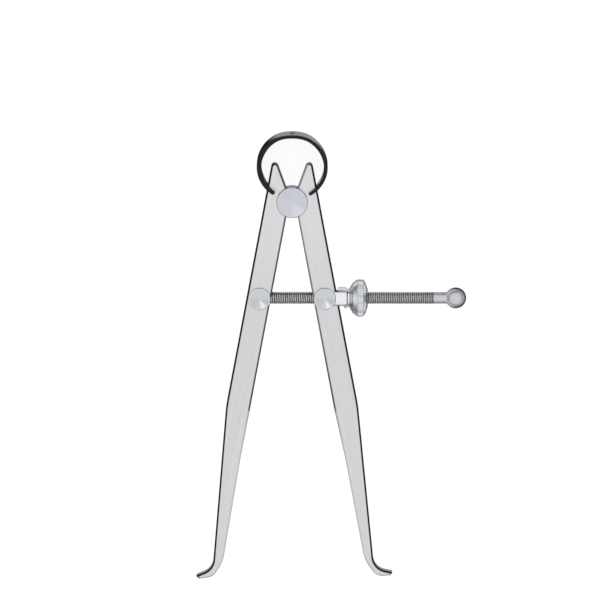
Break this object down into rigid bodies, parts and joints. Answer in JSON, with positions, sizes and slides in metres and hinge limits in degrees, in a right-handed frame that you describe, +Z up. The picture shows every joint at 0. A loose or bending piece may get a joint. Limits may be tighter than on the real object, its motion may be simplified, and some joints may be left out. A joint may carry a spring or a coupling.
{
  "type": "inside caliper",
  "caption": "Spring inside caliper: flat steel legs with out-turned toes on a pivot roller, a forked bow spring, and a screw with a knurled nut that sets the gap between the toes.",
  "frame": {"origin": "middle of the model's base, on the surface that the caliper lies on", "axes": "+Y runs from the toes to the bow spring, +X along the adjusting screw to its ball, +Z up out of the front face"},
  "size_m": [0.0864, 0.1436, 0.012],
  "materials": {
    "leg_steel": "satin chrome, fine grain along the leg",
    "roller_steel": "fine turned, satin plated",
    "spring_steel": "blued spring steel, satin",
    "stud_steel": "turned, plated",
    "screw_steel": "cut thread, plated, polished ball",
    "collar_steel": "turned and plated",
    "nut_steel": "turned, straight knurl, plated"
  },
  "bodies": {
    "head": {"pivot_roller": "roller_steel", "bow_spring": "spring_steel"},
    "left_leg": {"left_leg": "leg_steel"},
    "right_leg": {"right_leg": "leg_steel"},
    "screw": {"left_stud": "stud_steel", "left_stud_washer": "stud_steel", "adjusting_screw": "screw_steel"},
    "right_stud": {"right_stud": "stud_steel", "right_stud_washer": "stud_steel", "thrust_collar": "collar_steel"},
    "nut": {"adjusting_nut": "nut_steel"}
  },
  "joints": [
    {"name": "left_leg_pivot", "type": "hinge", "parent": "head", "child": "left_leg", "pos_m": [-0.01245, 0.04982, 0.006], "axis": [0, 0, -1], "range_deg": [-10, 17], "deforming": ["bow_spring"]},
    {"name": "right_leg_pivot", "type": "hinge", "parent": "head", "child": "right_leg", "pos_m": [-0.01245, 0.04982, 0.006], "axis": [0, 0, 1], "range_deg": [-10, 17], "deforming": ["bow_spring"]},
    {"name": "screw_swivel", "type": "hinge", "parent": "left_leg", "child": "screw", "pos_m": [-0.02286, 0.01881, 0.006], "axis": [0, 0, 1], "range_deg": [-10, 17]},
    {"name": "right_stud_swivel", "type": "hinge", "parent": "right_leg", "child": "right_stud", "pos_m": [-0.00204, 0.01881, 0.006], "axis": [0, 0, -1], "range_deg": [-10, 17]},
    {"name": "nut_spin", "type": "hinge", "parent": "right_stud", "child": "nut", "pos_m": [-0.00204, 0.01881, 0.006], "axis": [1, 0, 0], "range_deg": [-5600, 9500]}
  ],
  "couplings": [
    {"joint": "right_leg_pivot", "follows": "left_leg_pivot", "ratio": 1},
    {"joint": "screw_swivel", "follows": "left_leg_pivot", "ratio": 1},
    {"joint": "right_stud_swivel", "follows": "left_leg_pivot", "ratio": 1},
    {"joint": "nut_spin", "follows": "left_leg_pivot", "ratio": 553}
  ]
}
